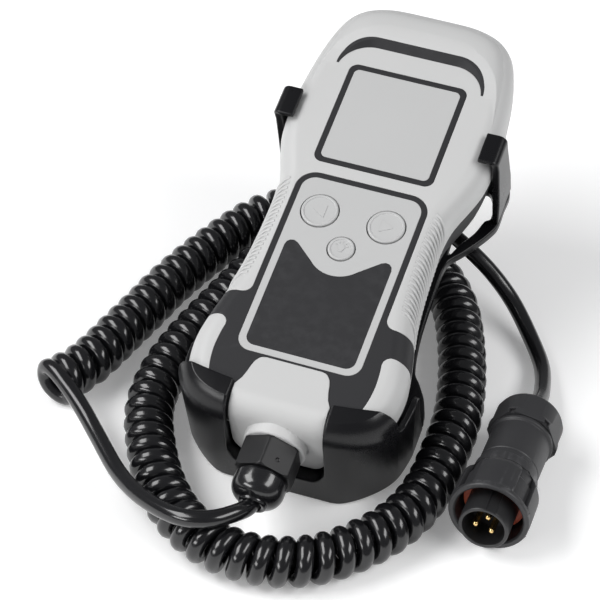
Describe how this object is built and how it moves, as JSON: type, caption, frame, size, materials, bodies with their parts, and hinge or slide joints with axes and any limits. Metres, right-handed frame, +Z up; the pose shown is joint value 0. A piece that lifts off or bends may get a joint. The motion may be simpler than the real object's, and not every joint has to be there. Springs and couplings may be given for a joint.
{
  "type": "wired remote control pendant in wall cradle",
  "caption": "Hand-held wired remote control with display window and keypad, in a wall cradle, with curly cord and inline plug.",
  "frame": {"origin": "on the surface it lies on, under the middle of the cradle and handset", "axes": "+Y towards the head end of the handset, +X to its right seen from the front, +Z up; the cradle is tilted 17 degrees about X, head end up"},
  "size_m": [0.1977, 0.2328, 0.0984],
  "materials": {
    "light_plastic": "fine matte, light grey",
    "panel_film": "smooth satin, light grey",
    "charcoal_grip": "matte charcoal",
    "board_green": "solder mask",
    "display_grey": "unlit display",
    "part_black": "moulded black",
    "screw_steel": "bright steel",
    "core_sheath": "brown sheath",
    "cord_jacket": "glossy black",
    "gland_grey": "dark grey polyamide",
    "gloss_black": "glossy black",
    "cradle_black": "satin black",
    "seal_rubber": "matte black",
    "plug_grey": "dark grey, matte",
    "contact_gold": "gold plated",
    "seal_red": "red silicone"
  },
  "bodies": {
    "cradle": {"cradle_plate": "cradle_black", "cradle_cup": "cradle_black", "cradle_arm_left": "cradle_black", "cradle_arm_right": "cradle_black", "cord_tail": "cord_jacket", "cord_coil": "cord_jacket", "cord_lead": "cord_jacket", "plug_back_nut": "plug_grey", "plug_grommet": "seal_rubber", "plug_body": "plug_grey", "plug_insert": "part_black", "plug_pins": "contact_gold", "plug_seal": "seal_red", "plug_cores": "core_sheath"},
    "handset": {"front_cover": "light_plastic", "end_block": "light_plastic", "rear_cover": "charcoal_grip", "cover_gasket": "seal_rubber", "cover_screws": "screw_steel", "grip_overmould": "charcoal_grip", "hood_inlay": "charcoal_grip", "display_frame": "charcoal_grip", "display_cover": "panel_film", "display_module": "display_grey", "keypad_overlay": "panel_film", "keypad_field": "charcoal_grip", "key_switches": "part_black", "circuit_board": "board_green", "board_screws": "screw_steel", "terminal_block": "board_green", "cable_cores": "core_sheath", "cable_jacket": "cord_jacket", "gland_body": "gland_grey", "gland_locknut": "part_black", "gland_seal": "seal_rubber", "gland_dome_nut": "gloss_black"},
    "up_key": {"key_up": "panel_film"},
    "down_key": {"key_down": "panel_film"},
    "light_key": {"key_light": "panel_film"},
    "sleeve": {"plug_sleeve": "plug_grey"}
  },
  "joints": [
    {"name": "handset_slide", "type": "slide", "parent": "cradle", "child": "handset", "axis": [0, 0.9563, 0.2924], "range_m": [0, 0.055], "deforming": ["cord_tail"]},
    {"name": "up_press", "type": "slide", "parent": "handset", "child": "up_key", "axis": [0, 0.2924, -0.9563], "range_m": [0, 0.0006], "stiffness_N_per_m": 800},
    {"name": "down_press", "type": "slide", "parent": "handset", "child": "down_key", "axis": [0, 0.2924, -0.9563], "range_m": [0, 0.0006], "stiffness_N_per_m": 800},
    {"name": "light_press", "type": "slide", "parent": "handset", "child": "light_key", "axis": [0, 0.2924, -0.9563], "range_m": [0, 0.0006], "stiffness_N_per_m": 800},
    {"name": "sleeve_turn", "type": "hinge", "parent": "cradle", "child": "sleeve", "pos_m": [0.0795, -0.0185, 0.0133], "axis": [0, -0.9984, 0.0558], "range_deg": [0, 45]}
  ]
}
